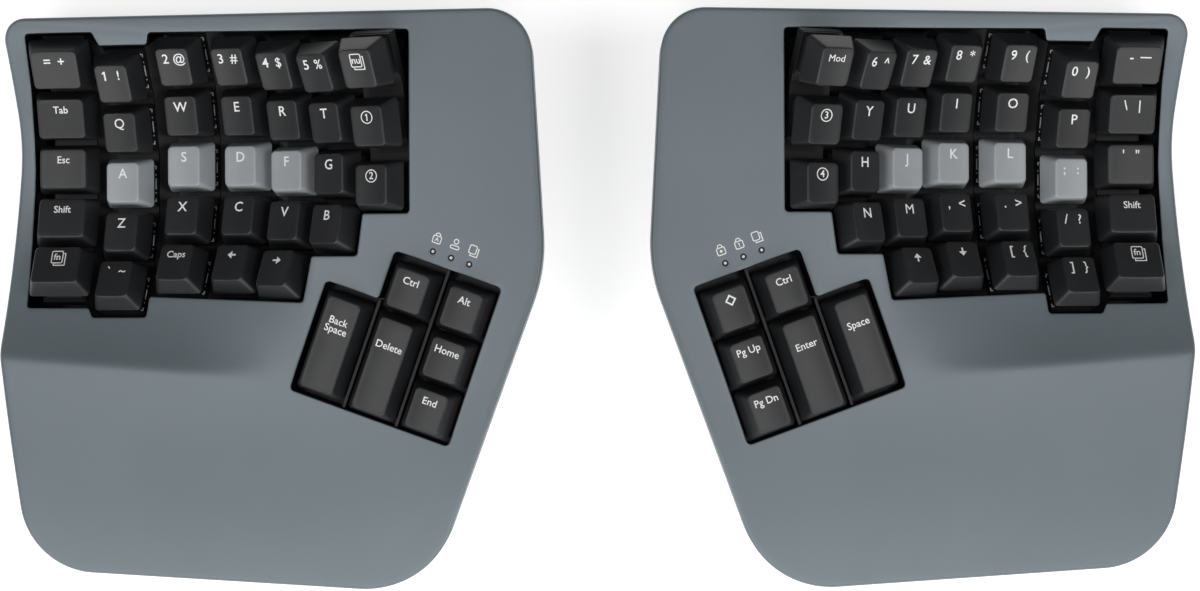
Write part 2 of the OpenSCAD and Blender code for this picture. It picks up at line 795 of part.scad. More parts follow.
module piece_of(p) {
    if (p == "top_case") top_case();
    if (p == "bottom_case") bottom_case();
    if (p == "key_well") key_well();
    if (p == "thumb_tray") thumb_tray();
    if (p == "switches") switches();
    if (p == "circuit_board") circuit_board();
    if (p == "battery") battery();
    if (p == "light_pipes") light_pipes();
    if (p == "screws") screws();
    if (p == "feet") feet();
    if (p == "tent_leg") tent_leg();
    if (p == "tent_buttons") tent_buttons();
    if (p == "power_switch") power_switch();
    for (r = [-2, -1, 1, 2])
        if (p == str(ROWS[r + 2], "_row_keys")) row_keys(r);
    for (c = [0 : 6])
        if (p == str("home_key_", COLUMNS[c])) home_key(c);
    for (i = [0 : 5])
        if (p == THUMBS[i]) thumb_key(i);
}

for (s = SIDES)
    for (p = PIECES)
        on_side(s) piece_of(p);
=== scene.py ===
"""Looks of an ergonomic split keyboard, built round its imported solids.

Shapes are worked out in millimetres and stored in metres. The right half is drawn and the left half
is its mirror image. Key rows run from -2 at the front to 2 at the back, with the home row at 0, and
key columns from 0, nearest to the centre line, to 6 at the outer side.
"""

import math

import bmesh
import bpy
import numpy as np
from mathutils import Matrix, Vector
from mathutils.geometry import delaunay_2d_cdt


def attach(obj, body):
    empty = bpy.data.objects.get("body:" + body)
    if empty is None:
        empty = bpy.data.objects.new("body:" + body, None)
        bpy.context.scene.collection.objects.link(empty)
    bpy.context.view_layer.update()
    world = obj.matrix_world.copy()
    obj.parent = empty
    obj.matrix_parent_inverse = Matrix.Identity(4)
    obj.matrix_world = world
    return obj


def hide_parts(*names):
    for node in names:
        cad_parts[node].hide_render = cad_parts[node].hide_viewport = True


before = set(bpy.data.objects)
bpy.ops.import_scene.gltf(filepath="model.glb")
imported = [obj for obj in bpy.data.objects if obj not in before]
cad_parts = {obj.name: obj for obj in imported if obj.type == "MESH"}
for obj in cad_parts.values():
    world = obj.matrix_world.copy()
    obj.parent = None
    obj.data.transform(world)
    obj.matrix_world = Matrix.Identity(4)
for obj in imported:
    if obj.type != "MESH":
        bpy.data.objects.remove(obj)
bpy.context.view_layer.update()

MM = 0.001
# Points of a mesh that lie closer together than this, in millimetres, become one
WELD = 0.002
# Bend, in degrees, from which an edge is shaded as a sharp one
SHARP_BEND = 35.0
SIDES = ("left", "right")
COLUMNS = ("inner", "reach", "index", "middle", "ring", "pinky", "outer")
ROWS = ("bottom", "lower", "home", "upper", "number")
THUMBS = ("mid", "back", "front", "second_back", "second_long", "third_long")

# Distance of each half's deck from the centre line
HALF_OFFSET = 19.2

# Keycaps
KEY_UNIT = 19.05
WIDE_UNITS = 1.25
KEY_BASE = 17.7
KEY_TOP_W = 12.2
KEY_TOP_D = 14.2
CAP_H = 8.0
CAP_WALL = 1.4
DISH_DEPTH = 0.35
CAP_ROOF = 2.2
SKIRT_GAP = 6.2
CAP_TOP = SKIRT_GAP + CAP_H

# Key well
ROW_ANGLE = 13.0
ROW_RADIUS = 79.0
INNER_RADIUS = 90.0
COLUMN_STEP = (59.6, 16.0, 16.1, 17.3, 20.7, 22.2, 21.6)
COLUMN_Y = (40.5, 45.0, 46.6, 48.7, 48.9, 43.1, 48.2)
COLUMN_DROP = (3.7, 14.1, 23.1, 29.5, 32.0, 33.0, 34.0)
COLUMN_LEAN = (24.0, 30.0, 24.0, 20.0, 15.0, 13.0, 7.0)
WELL_GAP = 0.8
TRAY_T = 3.0
TILE_END = 8.0

# Thumb cluster, with its keys as places outwards and backwards and lengths in units
THUMB_TURN = 19.5
THUMB_U = 33.8
THUMB_Y = -20.7
THUMB_PITCH_X = 20.0
THUMB_PITCH_Y = 18.6
THUMB_RAISE = 5.0
THUMB_THIRD_BACK = 0.8
KEY_GAP = 1.1
THUMB_AT = (
    (0.0, 0.0, 1),
    (0.0, THUMB_PITCH_Y, 1),
    (0.0, -THUMB_PITCH_Y, 1),
    (THUMB_PITCH_X, THUMB_PITCH_Y, 1),
    (THUMB_PITCH_X, -THUMB_PITCH_Y / 2, 2),
    (2 * THUMB_PITCH_X, -THUMB_PITCH_Y / 2 + THUMB_THIRD_BACK, 2),
)
THUMB_HALF = KEY_BASE / 2 + KEY_GAP
THUMB_LONG = (KEY_BASE + KEY_UNIT) / 2 + KEY_GAP
THUMB_BACK = 1.4
THUMB_LONG_BACK = 1.0
LIGHT_X = 3.5
LIGHT_BACK = 5.6
LIGHT_Y = THUMB_PITCH_Y + THUMB_HALF + LIGHT_BACK
LIGHT_PITCH = 6.85
LIGHT_R = 0.95
LIGHT_GAP = 0.15
LENS_R = 0.5
COLLAR_OVER = 0.1
MARK_BACK = 4.9

# Case
DECK_HEIGHT = 64.5
DECK_LEAN = math.radians(8.5)
BAND_H = 22.0
WALL = 2.4
RIM_BACK = 5.7
RIM_OUTER = 12.2
PALM_DEPTH = 98.4
PALM_FLAT = 10.0
PALM_R = 330.0
SCOOP_DEPTH = 12.2
SCOOP_HALF = 60.0
SCOOP_FORWARD = 8.0
SCOOP_Y = COLUMN_Y[6] - SCOOP_FORWARD
# The scoop has its full depth near the outer edge and none after its whole run inwards. Its middle
# runs forward by the slant for each millimetre inwards, and the power delays its loss of depth.
SCOOP_FULL = 25.0
SCOOP_RUN = 120.0
SCOOP_LATE = 1.8
SCOOP_SLANT = 9.0 / 112.0
SCOOP_REACH = 0.95
NO_SCOOP = 1000.0
CREASE = 0.8
CREASE_FADE = 5.0
EDGE_R = 1.3
LIP_R = 0.7
LIGHT_LIP_R = 0.15
SEAM_GAP = 0.35
WELL_CORNER_R = 1.2
THUMB_CORNER_R = 1.6
LEAST_R = 0.05


# Frames and places

def shift(x, y, z):
    made = np.eye(4)
    made[:3, 3] = (x, y, z)
    return made


def turn(axis, degrees):
    """Turn about an axis, counted 0 to 2."""
    made = np.eye(4)
    i, j = (axis + 1) % 3, (axis + 2) % 3
    c, s = math.cos(math.radians(degrees)), math.sin(math.radians(degrees))
    made[i, i], made[i, j], made[j, i], made[j, j] = c, -s, s, c
    return made


def placed(place, points):
    points = np.asarray(points, float)
    return points @ place[:3, :3].T + place[:3, 3]


MIRROR = np.diag((-1.0, 1.0, 1.0, 1.0))


def on_side(side, place):
    """The same place on the named half, turned and not mirrored, so that words stay readable."""
    return MIRROR @ place @ MIRROR if side == "left" else place


def units(c):
    """Width of a column's keys in units."""
    return WIDE_UNITS if c == 6 else 1


def base_of(n):
    """Length of a keycap's foot for its size in units."""
    return KEY_BASE + (n - 1) * KEY_UNIT


def first_row(c):
    """Front row of a column."""
    return {0: 0, 1: -1}.get(c, -2)


def col_x(c):
    return HALF_OFFSET + sum(COLUMN_STEP[:c + 1])


def col_r(c):
    return INNER_RADIUS if c == 0 else ROW_RADIUS


def at_key(c, r):
    """Frame of a key's seat on the well's floor."""
    home = shift(col_x(c), COLUMN_Y[c], DECK_HEIGHT - COLUMN_DROP[c]) @ turn(1, COLUMN_LEAN[c])
    return home @ shift(0, 0, col_r(c)) @ turn(0, r * ROW_ANGLE) @ shift(0, 0, -col_r(c) - CAP_TOP)


ON_DECK = shift(HALF_OFFSET, 0, DECK_HEIGHT) @ turn(1, math.degrees(DECK_LEAN))
ON_THUMB = ON_DECK @ shift(THUMB_U, THUMB_Y, THUMB_RAISE) @ turn(2, THUMB_TURN)


def at_thumb(i):
    return ON_THUMB @ shift(THUMB_AT[i][0], THUMB_AT[i][1], -CAP_TOP)


# Meshes

class Piece:
    """Points and faces gathered for one object."""

    def __init__(self):
        self.points = []
        self.faces = []
        self.marks = []

    def add(self, points, faces, marks=0):
        """Adds faces that share one material, or have a material each."""
        start = len(self.points)
        self.points.extend(np.asarray(points, float).tolist())
        self.faces.extend([[start + i for i in face] for face in faces])
        self.marks.extend([marks] * len(faces) if isinstance(marks, int) else marks)

    def build(self, name, materials, body):
        """Closed mesh object on its body, shaded smooth apart from its sharp edges."""
        mesh = bpy.data.meshes.new(name)
        mesh.from_pydata([[v * MM for v in p] for p in self.points], [], self.faces)
        for material in materials:
            mesh.materials.append(material)
        mesh.polygons.foreach_set("material_index", self.marks)
        work = bmesh.new()
        work.from_mesh(mesh)
        bmesh.ops.remove_doubles(work, verts=work.verts, dist=WELD * MM)
        bmesh.ops.recalc_face_normals(work, faces=work.faces)
        work.to_mesh(mesh)
        work.free()
        mesh.polygons.foreach_set("use_smooth", [True] * len(mesh.polygons))
        mesh.set_sharp_from_angle(angle=math.radians(SHARP_BEND))
        made = bpy.data.objects.new(name, mesh)
        bpy.context.scene.collection.objects.link(made)
        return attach(made, body)


def ring_faces(rows, count):
    """Quads between rings of points that follow one another."""
    return [[k * count + i, k * count + (i + 1) % count,
             (k + 1) * count + (i + 1) % count, (k + 1) * count + i]
            for k in range(rows - 1) for i in range(count)]


def capped(rings):
    """Solid between rings of points, closed by a face at each end."""
    count = len(rings[0])
    last = (len(rings) - 1) * count
    faces = ring_faces(len(rings), count)
    faces += [list(range(count))[::-1], list(range(last, last + count))]
    return np.concatenate(rings), faces


def with_z(ring, z):
    return np.column_stack((ring, np.broadcast_to(z, len(ring))))


def circle(r, count=28):
    angles = np.linspace(0, 2 * math.pi, count, endpoint=False)
    return r * np.stack((np.cos(angles), np.sin(angles)), 1)


def rounded_rect(w, d, r, per_corner=6, per_edge=3):
    """Ring round a rectangle with round corners, counter-clockwise."""
    corners = []
    for k, (sx, sy) in enumerate(((1, 1), (-1, 1), (-1, -1), (1, -1))):
        angles = np.radians(90 * k + np.linspace(0, 90, per_corner))
        middle = (sx * (w / 2 - r), sy * (d / 2 - r))
        corners.append(np.stack((middle[0] + r * np.cos(angles), middle[1] + r * np.sin(angles)), 1))
    ring = []
    for k in range(4):
        ring.extend(corners[k])
        after = corners[(k + 1) % 4][0]
        for step in range(1, per_edge + 1):
            ring.append(corners[k][-1] + (after - corners[k][-1]) * step / (per_edge + 1))
    return np.array(ring)


# Keycaps

CAP_EDGE = 0.5
SKIRT_CORNER = 1.5
TOP_CORNER = 1.7
SIDE_SWELL = 0.12
HEM_IN = 0.25
HEM_UP = 0.2
HOLLOW_CORNER = 0.9
CEILING_CORNER = 0.8
SLIDER_SIZE = (6.0, 5.7)
SLIDER_FOOT = 1.6
SLIDER_TOP = 6.4
STEM_R = 2.7
STEM_FOOT = 6.9
STEM_POINTS = 24
SOFT_EDGE = 0.2


def cap_top_z(x, top_w):
    """Height of the hollow top face across its width."""
    share = np.clip(np.abs(x) / (top_w / 2), 0, 1)
    return CAP_TOP - DISH_DEPTH * (1 - share ** 2)


def keycap(across, along):
    """Hollow keycap with drawn-in sides, a rounded top edge and a dished top."""
    bw, bd = base_of(across), base_of(along)
    tw, td = bw - KEY_BASE + KEY_TOP_W, bd - KEY_BASE + KEY_TOP_D
    hem = with_z(rounded_rect(bw, bd, SKIRT_CORNER), SKIRT_GAP)
    brow_flat = rounded_rect(tw, td, TOP_CORNER)
    brow = with_z(brow_flat, cap_top_z(brow_flat[:, 0], tw))
    shore_flat = rounded_rect(tw - 2 * CAP_EDGE, td - 2 * CAP_EDGE, TOP_CORNER - CAP_EDGE)
    shore = with_z(shore_flat, cap_top_z(shore_flat[:, 0], tw))
    outward = hem - brow
    outward[:, 2] = 0
    outward /= np.linalg.norm(outward, axis=1)[:, None]

    hollow_w, hollow_d = bw - 2 * CAP_WALL, bd - 2 * CAP_WALL
    ceiling_z = CAP_TOP - CAP_ROOF
    drawn_in = (CAP_H - CAP_ROOF) / CAP_H
    ceiling = rounded_rect(hollow_w - (bw - tw) * drawn_in,
                           hollow_d - (bd - td) * drawn_in, CEILING_CORNER)
    rings = [with_z(ceiling, ceiling_z),
             with_z(rounded_rect(hollow_w, hollow_d, HOLLOW_CORNER), SKIRT_GAP),
             hem - outward * HEM_IN,
             hem + np.array((0, 0, HEM_UP))]
    for t in (0.25, 0.5, 0.75):
        rings.append(hem + (brow - hem) * t + outward * SIDE_SWELL * 4 * t * (1 - t))
    foot = hem + (brow - hem) * (1 - CAP_EDGE / CAP_H)
    for s in (0, 0.25, 0.5, 0.75, 1):
        rings.append((1 - s) ** 2 * foot + 2 * s * (1 - s) * brow + s ** 2 * shore)
    for k in (0.8, 0.55, 0.3, 0.1):
        flat = shore_flat * k
        rings.append(with_z(flat, cap_top_z(flat[:, 0], tw)))

    count = len(hem)
    points = np.concatenate(rings + [[(0, 0, ceiling_z)], [(0, 0, CAP_TOP - DISH_DEPTH)]])
    faces = ring_faces(len(rings), count)
    roof, crown = len(points) - 2, len(points) - 1
    last = (len(rings) - 1) * count
    faces += [[roof, (i + 1) % count, i] for i in range(count)]
    faces += [[crown, last + i, last + (i + 1) % count] for i in range(count)]
    return points, faces


def bar(middle, size, z0, z1, bevel):
    """Upright bar with broken edges."""
    w, d = size
    levels = ((bevel, z0), (0, z0 + bevel), (0, z1 - bevel), (bevel, z1))
    rings = []
    for e, z in levels:
        flat = rounded_rect(w - 2 * e, d - 2 * e, bevel, per_corner=3, per_edge=0)
        rings.append(with_z(flat + np.array(middle), z))
    return capped(rings)


def round_bar(r, z0, z1, bevel, count):
    """Upright round bar with broken edges."""
    levels = ((r - bevel, z0), (r, z0 + bevel), (r, z1 - bevel), (r - bevel, z1))
    return capped([with_z(circle(q, count), z) for q, z in levels])


def add_key(piece, place, across, along):
    """Adds a keycap, the switch's slider below it and the stem between them."""
    points, faces = keycap(across, along)
    piece.add(placed(place, points), faces)
    points, faces = bar((0, 0), SLIDER_SIZE, SLIDER_FOOT, SLIDER_TOP, SOFT_EDGE)
    piece.add(placed(place, points), faces, 1)
    points, faces = round_bar(STEM_R, STEM_FOOT, CAP_TOP - CAP_ROOF, SOFT_EDGE, STEM_POINTS)
    piece.add(placed(place, points), faces)


# Legends

LETTER_H = 3.5
WORD_H = 2.55
PAIR_H = 3.5
SHIFTED_H = 3.4
BOXED_H = 2.5
LOCK_H = 1.5
PAIR_X = 2.6
LEGEND_BACK = 4.0
LONG_LEGEND_BACK = 9.5
PRINT_UP = 0.035
PRINT_DOWN = 0.03
PRINT_WEIGHT = 0.010
# Letters whose outlines would cross themselves if they were made bolder
PLAIN_LETTERS = set("MQ")
LINE = 0.36


def lettering(text):
    """Centred lettering of the built-in font as a thin solid, at the font's own size."""
    data = bpy.data.curves.new("words", "FONT")
    data.body = text
    data.align_x = "CENTER"
    data.align_y = "CENTER"
    data.resolution_u = 3
    data.space_line = 0.85
    data.offset = 0 if PLAIN_LETTERS & set(text) else PRINT_WEIGHT
    data.extrude = 0.01
    made = bpy.data.objects.new("words", data)
    bpy.context.scene.collection.objects.link(made)
    shape = made.evaluated_get(bpy.context.evaluated_depsgraph_get())
    mesh = shape.to_mesh()
    points = np.array([v.co for v in mesh.vertices])
    faces = [list(p.vertices) for p in mesh.polygons]
    shape.to_mesh_clear()
    bpy.data.objects.remove(made)
    bpy.data.curves.remove(data)
    return points, faces


CAPITAL = float(np.ptp(lettering("H")[0][:, 1]))


def words(text, height):
    """Flat lettering with capitals of the given height."""
    points, faces = lettering(text)
    points[:, :2] *= height / CAPITAL
    points[:, 2] = np.where(points[:, 2] > 0, PRINT_UP, -PRINT_DOWN)
    return points, faces


def prism(outline, holes=()):
    """Thin solid of a flat outline with holes in it."""
    loops = [np.asarray(loop, float) for loop in (outline, *holes)]
    flat, kept, edges = filled(loops)
    n = len(flat)
    points = np.concatenate((with_z(flat, -PRINT_DOWN), with_z(flat, PRINT_UP)))
    faces = [face[::-1] for face in kept] + [[n + i for i in face] for face in kept]
    faces += [[i, j, n + j, n + i] for i, j in edges]
    return points, faces


def filled(loops, more=()):
    """Flat sheet inside the first loop and outside the others, with more points in it.

    Gives all points, with those of the loops first, the sheet's triangles and the loops' edges.
    """
    flat = np.concatenate([*loops, *more])
    starts = np.cumsum([0] + [len(loop) for loop in loops])
    edges = [(a + i, a + (i + 1) % (b - a)) for a, b in zip(starts, starts[1:]) for i in range(b - a)]
    inner_triangles, tolerance = 1, 1e-6
    made = delaunay_2d_cdt([Vector(p) for p in flat], edges, [], inner_triangles, tolerance)
    first = [origin[0] for origin in made[3]]
    faces = np.array([[first[i] for i in face] for face in made[2]])
    middles = flat[faces].mean(1)
    keep = np.ones(len(faces), bool)
    for hole in loops[1:]:
        keep &= ~inside(middles, hole)
    return flat, faces[keep].tolist(), edges


def inside(points, loop):
    """Whether each point lies inside a closed loop."""
    x, y = points[:, 0][:, None], points[:, 1][:, None]
    a, b = loop, np.roll(loop, -1, 0)
    crosses = (a[:, 1] > y) != (b[:, 1] > y)
    rise = np.where(b[:, 1] == a[:, 1], 1, b[:, 1] - a[:, 1])
    reach = a[:, 0] + (y - a[:, 1]) * (b[:, 0] - a[:, 0]) / rise
    return (crosses & (x < reach)).sum(1) % 2 == 1


def arrow(degrees):
    """Arrow that points along an angle."""
    tip, neck, head, shaft = 1.6, -0.1, 1.5, 0.33
    points, faces = prism(((-tip, -shaft), (neck, -shaft), (neck, -head), (tip, 0),
                           (neck, head), (neck, shaft), (-tip, shaft)))
    return placed(turn(2, degrees), points), faces


def joined(*solids):
    """Several thin solids as one."""
    starts = np.cumsum([0] + [len(points) for points, _ in solids])
    faces = [[a + i for i in face] for a, (_, part) in zip(starts, solids) for face in part]
    return np.concatenate([points for points, _ in solids]), faces


def moved(solid, x, y):
    return solid[0] + np.array((x, y, 0)), solid[1]


def one(height):
    """Numeral with a flag and no foot."""
    right, left, flag = 0.10, -0.07, -0.24
    flat = ((right, 0.5), (-0.03, 0.5), (flag, 0.33), (flag, 0.17),
            (left, 0.28), (left, -0.5), (right, -0.5))
    return prism(height * np.array(flat))


def long_dash(height):
    """Underscore, printed as a long dash."""
    x, y = 0.6 * height, 0.07 * height
    return prism(((-x, -y), (x, -y), (x, y), (-x, y)))


def glyph(text, height):
    if text == "1":
        return one(height)
    return long_dash(height) if text == "_" else words(text, height)


def pair(text):
    """A key's two signs side by side."""
    first, second = text.split()
    return joined(moved(glyph(first, PAIR_H), -PAIR_X, 0), moved(glyph(second, SHIFTED_H), PAIR_X, 0))


def stroke(path):
    """Line of even width along a bent path."""
    path = np.asarray(path, float)
    run = np.diff(path, axis=0)
    run /= np.linalg.norm(run, axis=1)[:, None]
    normals = np.stack((-run[:, 1], run[:, 0]), 1)
    before = np.concatenate((normals[:1], normals))
    after = np.concatenate((normals, normals[-1:]))
    mitre = (before + after) / (1 + (before * after).sum(1))[:, None] * LINE / 2
    return prism(np.concatenate((path + mitre, (path - mitre)[::-1])))


def box(w, d, r):
    return prism(rounded_rect(w, d, r), [rounded_rect(w - 2 * LINE, d - 2 * LINE, r - LINE * 0.9)])


def hoop(r):
    return prism(circle(r), [circle(r - LINE)])


def sheets(w, d, step):
    """An outlined sheet with another one behind it."""
    x, y = w / 2 - LINE / 2, d / 2 - LINE / 2
    behind = ((x + LINE, y - step), (x + step, y - step), (x + step, -y - step), (-x + step, -y - step),
              (-x + step, -y - LINE))
    return joined(box(w, d, 0.7), stroke(behind))


def box_word(text):
    return joined(sheets(4.4, 5.0, 0.95), words(text, BOXED_H))


def ring_word(text):
    return joined(hoop(2.3), glyph(text, BOXED_H))


def diamond():
    return prism(circle(2.1, 4), [circle(1.3, 4)])


def padlock(inside_mark):
    """Closed padlock with a mark on its body."""
    bow_r, bow_y, body_y = 0.85, 1.0, -0.5
    angles = np.radians(np.linspace(0, 180, 11))
    bow = np.stack((bow_r * np.cos(angles), bow_y + bow_r * np.sin(angles)), 1)
    return joined(moved(box(3.3, 2.9, 0.6), 0, body_y), stroke(bow), moved(inside_mark, 0, body_y))


def person():
    """Head over shoulders."""
    return joined(moved(hoop(1.0), 0, 1.05), moved(box(3.5, 1.5, 0.7), 0, -1.0))


SYMBOLS = {
    "@left": lambda: arrow(180),
    "@right": lambda: arrow(0),
    "@up": lambda: arrow(90),
    "@down": lambda: arrow(270),
    "@diamond": diamond,
    "@fn": lambda: box_word("fn"),
    "@num": lambda: box_word("nu"),
    "@caps": lambda: padlock(words("A", LOCK_H)),
    "@dot": lambda: padlock(prism(circle(0.5, 16))),
    "@one": lambda: padlock(one(LOCK_H)),
    "@person": person,
    "@sheets": lambda: moved(sheets(2.9, 3.3, 0.8), -0.4, 0.4),
    "@1": lambda: ring_word("1"),
    "@2": lambda: ring_word("2"),
    "@3": lambda: ring_word("3"),
    "@4": lambda: ring_word("4"),
}

# Legends of each half by row from the back, in columns from the outer side to the inner one
LEGENDS = {
    "left": (
        ("=  +", "1  !", "2  @", "3  #", "4  $", "5  %", "@num"),
        ("Tab", "Q", "W", "E", "R", "T", "@1"),
        ("Esc", "A", "S", "D", "F", "G", "@2"),
        ("Shift", "Z", "X", "C", "V", "B"),
        ("@fn", "`  ~", "Caps", "@left", "@right"),
    ),
    "right": (
        ("-  _", "0  )", "9  (", "8  *", "7  &", "6  ^", "Mod"),
        ("\\  |", "P", "O", "I", "U", "Y", "@3"),
        ("'  \"", ";  :", "L", "K", "J", "H", "@4"),
        ("Shift", "/  ?", ".  >", ",  <", "M", "N"),
        ("@fn", "]  }", "[  {", "@down", "@up"),
    ),
}
LIGHT_LEGENDS = {
    "left": ("@sheets", "@person", "@caps"),
    "right": ("@dot", "@one", "@sheets"),
}
THUMB_LEGENDS = {
    "left": ("Home", "Alt", "End", "Ctrl", "Delete", "Back\nSpace"),
    "right": ("Pg Up", "@diamond", "Pg Dn", "Ctrl", "Enter", "Space"),
}


def key_legend(side, c, r):
    return LEGENDS[side][2 - r][6 - c]


def legend(text):
    """Thin solid of a key's legend."""
    if text in SYMBOLS:
        return SYMBOLS[text]()
    if len(text) == 1:
        return words(text, LETTER_H)
    return pair(text) if "  " in text else words(text, WORD_H)


def add_legend(piece, place, text, across, along):
    """Prints a legend on the back part of a keycap's top."""
    points, faces = legend(text)
    top_w = base_of(across) - KEY_BASE + KEY_TOP_W
    top_d = base_of(along) - KEY_BASE + KEY_TOP_D
    points[:, 1] += top_d / 2 - (LEGEND_BACK if along == 1 else LONG_LEGEND_BACK)
    points[:, 2] += cap_top_z(points[:, 0], top_w)
    piece.add(placed(place, points), faces)


# Case outline

def case_corners():
    """Corners of the case outline with their radii, counter-clockwise seen from above."""
    return (
        (HALF_OFFSET + 4, CASE_BACK, 16),
        (HALF_OFFSET - 1, 11, 60),
        (HALF_OFFSET + 41, CASE_FRONT, 34),
        (CASE_OUTER - 9, CASE_FRONT + 7, 27),
        (CASE_OUTER, WELL_FRONT - 12, 30),
        (CASE_OUTER - 6.4, COLUMN_Y[6] + 9, 110),
        (CASE_OUTER - 1, CASE_BACK, 8),
    )


def unit(v):
    return v / np.linalg.norm(v)


def left_of(v):
    return np.array((-v[1], v[0]))


def offset_corners(points, e):
    """Corners of a counter-clockwise outline moved inwards by e, with their radii."""
    made = []
    n = len(points)
    for i in range(n):
        a, b, c = (np.array(points[(i + k) % n][:2]) for k in (-1, 0, 1))
        u, w = unit(b - a), unit(c - b)
        p = b + e * (left_of(u) + left_of(w)) / (1 + left_of(u) @ left_of(w))
        bend = u[0] * w[1] - u[1] * w[0]
        made.append((p[0], p[1], max(LEAST_R, points[i][2] - e * np.sign(bend))))
    return made


def fillets(points, per_corner, cuts):
    """Closed path round corners with radii, with each straight cut as often as it is told."""
    n = len(points)
    arcs = []
    for i in range(n):
        a, b, c = (np.array(points[(i + k) % n][:2]) for k in (-1, 0, 1))
        u, w = unit(a - b), unit(c - b)
        half = math.acos(np.clip(u @ w, -1, 1)) / 2
        r = points[i][2]
        middle = b + unit(u + w) * r / math.sin(half)
        s, t = unit(b + u * r / math.tan(half) - middle), unit(b + w * r / math.tan(half) - middle)
        k = math.pi - 2 * half
        steps = np.linspace(0, 1, per_corner)[:, None]
        arcs.append(middle + r * (np.sin(k * (1 - steps)) * s + np.sin(k * steps) * t) / math.sin(k))
    path = []
    for i in range(n):
        path.extend(arcs[i])
        a, b = arcs[i][-1], arcs[(i + 1) % n][0]
        path.extend(a + (b - a) * k / (cuts[i] + 1) for k in range(1, cuts[i] + 1))
    return np.array(path)


def skirt(c, r, side, end):
    """A point of a keycap's skirt, seen from above: side and end are -1, 0 or 1."""
    a, lean = math.radians(r * ROW_ANGLE), math.radians(COLUMN_LEAN[c])
    reach = col_r(c) + CAP_H
    rise = col_r(c) - reach * math.cos(a) + end * KEY_BASE / 2 * math.sin(a)
    return (col_x(c) + side * base_of(units(c)) / 2 * math.cos(lean) + rise * math.sin(lean),
            COLUMN_Y[c] + reach * math.sin(a) + end * KEY_BASE / 2 * math.cos(a))


def side_x(c, r, side, end, gaps):
    return skirt(c, r, side, end)[0] + side * gaps * WELL_GAP


def end_y(c, r, end, gaps):
    return skirt(c, r, 0, end)[1] + end * gaps * WELL_GAP


def floor_y(c, r):
    """End of a column's floor at its last row, seen from above."""
    a = math.radians(r * ROW_ANGLE)
    return (COLUMN_Y[c] + (col_r(c) + CAP_TOP + TRAY_T) * math.sin(a)
            + np.sign(r) * TILE_END * math.cos(a))


# Opening over the key well: its front edge outwards, its outer edge, then its back edge inwards
WELL_CORNERS = (
    (side_x(0, 0, -1, 0, 2), end_y(0, 0, -1, 1)),
    (side_x(1, -1, -1, 1, 1), end_y(0, 0, -1, 1)),
    (side_x(1, -1, -1, -1, 1), end_y(1, -1, -1, 1)),
    (side_x(2, -2, -1, 1, 1), end_y(1, -1, -1, 1)),
    (side_x(2, -2, -1, -1, 1), end_y(2, -2, -1, 1)),
    (side_x(5, -2, -1, 0, 2), end_y(4, -2, -1, 1)),
    (side_x(5, -2, -1, -1, 2), end_y(5, -2, -1, 3)),
    (side_x(5, -2, 1, -1, 1), end_y(5, -2, -1, 3)),
    (side_x(5, -2, 1, -1, 3), floor_y(6, -2) - WELL_GAP),
    (side_x(6, -2, 1, -1, 2), floor_y(6, -2) - WELL_GAP),
    (side_x(6, -2, 1, 1, 2), skirt(6, -2, 0, 1)[1]),
    (side_x(6, 0, 1, 0, 1), skirt(6, 0, 0, 0)[1]),
    (side_x(6, 2, 1, -1, 1), skirt(6, 2, 0, -1)[1]),
    (side_x(6, 2, 1, 1, 1), end_y(6, 2, 1, 2.5)),
    (side_x(6, 2, -1, 1, 2), end_y(6, 2, 1, 2.5)),
    (side_x(6, 2, -1, 1, 5), end_y(5, 2, 1, 3)),
    (side_x(4, 2, 1, 1, 2), end_y(5, 2, 1, 3)),
    (side_x(4, 2, 1, 1, 1), end_y(4, 2, 1, 1)),
    (side_x(0, 0, -1, 0, 2), floor_y(0, 2) + WELL_GAP / 2),
)
WELL_BACK = max(y for x, y in WELL_CORNERS)
WELL_FRONT = min(y for x, y in WELL_CORNERS)
CASE_BACK = WELL_BACK + RIM_BACK
CASE_FRONT = WELL_FRONT - PALM_DEPTH
CASE_OUTER = skirt(6, 0, 1, 0)[0] + RIM_OUTER
PALM_START = WELL_FRONT - PALM_FLAT
OUTLINE = case_corners()


# Fineness of the edges: points in a rounded corner, and the pitch of the cuts along a straight
OUTLINE_ARC = 21
OPENING_ARC = 6
LIGHT_POINTS = 20
CUT_PITCH = 4.0


def straight_cuts(points):
    """How many cuts each straight of an outline takes."""
    n = len(points)
    lengths = [math.dist(points[i][:2], points[(i + 1) % n][:2]) for i in range(n)]
    return [max(0, int(length / CUT_PITCH) - 1) for length in lengths]


OUTLINE_CUTS = straight_cuts(OUTLINE)


def outline(e):
    """Edge of the case, moved inwards by e."""
    return fillets(offset_corners(OUTLINE, e), OUTLINE_ARC, OUTLINE_CUTS)


# Openings of the upper shell

EASE = 0.42


def eased(points):
    """Corners whose radii are kept within a share of their shorter sides."""
    n = len(points)
    made = []
    for i, (x, y, r) in enumerate(points):
        near = min(math.dist((x, y), points[i - 1][:2]), math.dist((x, y), points[(i + 1) % n][:2]))
        made.append((x, y, min(r, EASE * near)))
    return made


WELL = [(x, y, WELL_CORNER_R) for x, y in WELL_CORNERS]
WELL_CUTS = straight_cuts(WELL)


def well_ring(e):
    """Edge of the key well's opening, moved outwards by e."""
    return fillets(eased(offset_corners(WELL, -e)), OPENING_ARC, WELL_CUTS)


def thumb_corners():
    """Corners of the thumb cluster's opening in its own frame."""
    x0, x1, x2 = -THUMB_HALF, 1.5 * THUMB_PITCH_X, 2 * THUMB_PITCH_X + THUMB_HALF
    y0, y1 = -THUMB_PITCH_Y - THUMB_HALF, THUMB_AT[5][1] + THUMB_LONG + THUMB_LONG_BACK
    y2 = THUMB_PITCH_Y + THUMB_HALF + THUMB_BACK
    return [(x0, y0), (x2, y0), (x2, y1), (x1, y1), (x1, y2), (x0, y2)]


